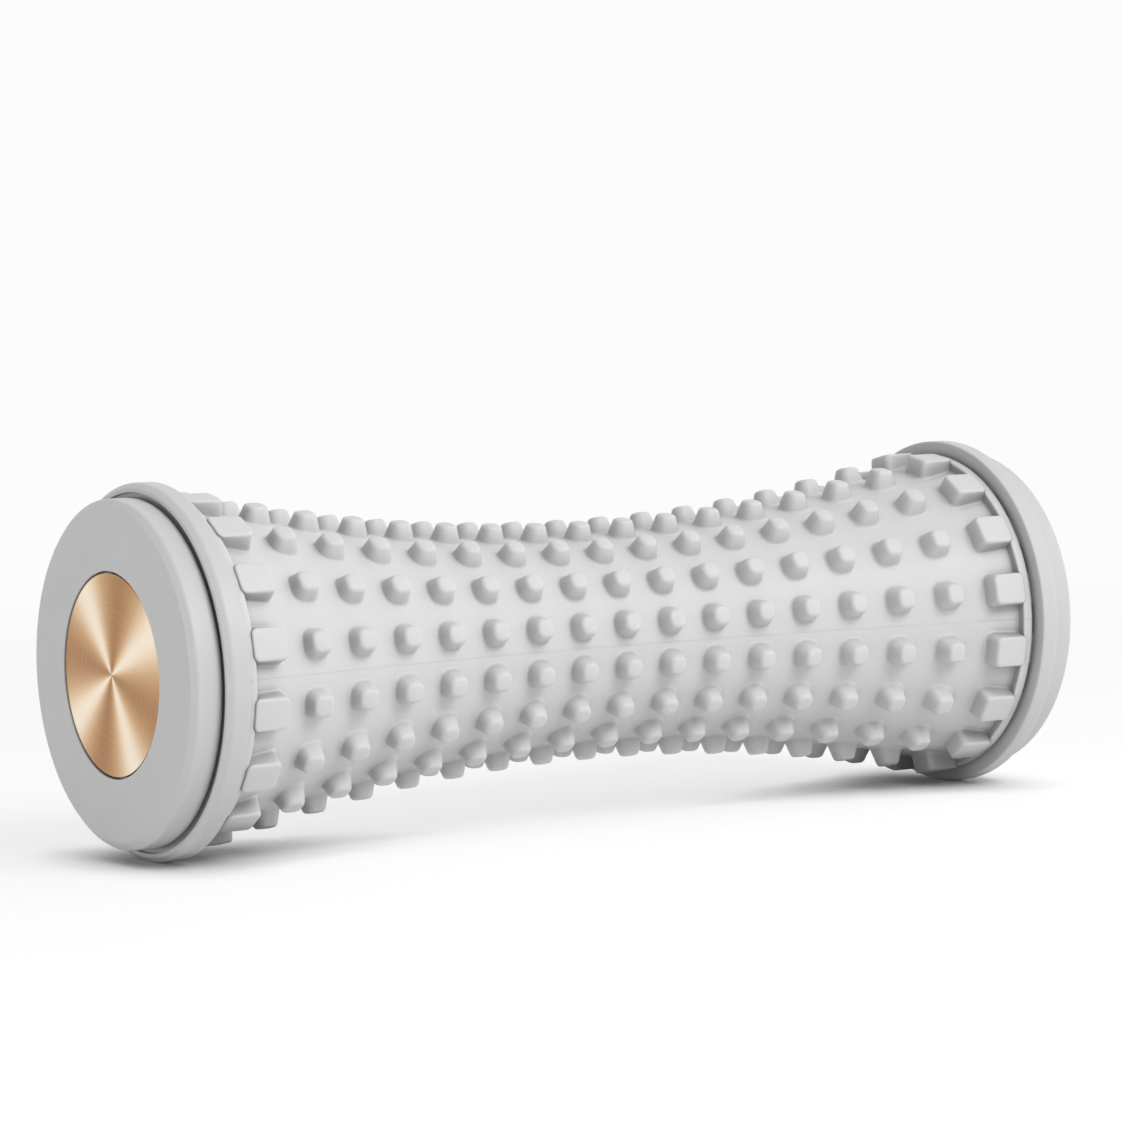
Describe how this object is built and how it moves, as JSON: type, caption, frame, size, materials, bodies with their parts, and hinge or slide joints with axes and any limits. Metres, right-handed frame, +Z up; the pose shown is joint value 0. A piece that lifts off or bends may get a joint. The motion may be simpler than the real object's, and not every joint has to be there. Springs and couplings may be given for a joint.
{
  "type": "foot massage roller",
  "caption": "Waisted hollow roller for the sole of the foot, with rows of soft square knobs, a rolling ring at each end and quick-thread end caps with a round brushed metal disc.",
  "frame": {"origin": "on the ground under the middle of the roller, midway between the two rings it stands on", "axes": "+X along the roller's axis, from the left cap to the right cap; +Y to the back, away from the viewer; +Z up. The parting line of the mouldings lies in the level plane through the axis."},
  "size_m": [0.1716, 0.06, 0.06],
  "materials": {
    "soft_sleeve": "matte, softly satin",
    "end_plastic": "matte",
    "core_plastic": "satin",
    "seal_rubber": "matte",
    "bronze_disc": "circular brushed, bronze anodised",
    "adhesive_pad": "matte",
    "foam": "closed-cell foam"
  },
  "bodies": {
    "roller": {"massage_sleeve": "soft_sleeve", "left_core_shell": "core_plastic", "right_core_shell": "core_plastic", "left_end_ring": "end_plastic", "left_neck_insert": "core_plastic", "left_neck_seal": "seal_rubber", "right_end_ring": "end_plastic", "right_neck_insert": "core_plastic", "right_neck_seal": "seal_rubber"},
    "left_seal": {"left_cap_seal": "seal_rubber"},
    "left_cap": {"left_cap_shell": "end_plastic", "left_cap_plug": "core_plastic", "left_cap_foam": "foam", "left_cap_disc": "bronze_disc", "left_disc_pad": "adhesive_pad"},
    "right_seal": {"right_cap_seal": "seal_rubber"},
    "right_cap": {"right_cap_shell": "end_plastic", "right_cap_plug": "core_plastic", "right_cap_foam": "foam", "right_cap_disc": "bronze_disc", "right_disc_pad": "adhesive_pad"}
  },
  "joints": [
    {"name": "left_cap_travel", "type": "slide", "parent": "roller", "child": "left_seal", "axis": [-1, 0, 0], "range_m": [0, 0.006]},
    {"name": "left_cap_turn", "type": "hinge", "parent": "left_seal", "child": "left_cap", "pos_m": [-0.08035, 0, 0.03], "axis": [-1, 0, 0], "range_deg": [0, 120]},
    {"name": "right_cap_travel", "type": "slide", "parent": "roller", "child": "right_seal", "axis": [1, 0, 0], "range_m": [0, 0.006]},
    {"name": "right_cap_turn", "type": "hinge", "parent": "right_seal", "child": "right_cap", "pos_m": [0.08035, 0, 0.03], "axis": [1, 0, 0], "range_deg": [0, 120]}
  ],
  "couplings": [
    {"joint": "left_cap_travel", "follows": "left_cap_turn", "m_per_rad": 0.0028648},
    {"joint": "right_cap_travel", "follows": "right_cap_turn", "m_per_rad": 0.0028648}
  ]
}
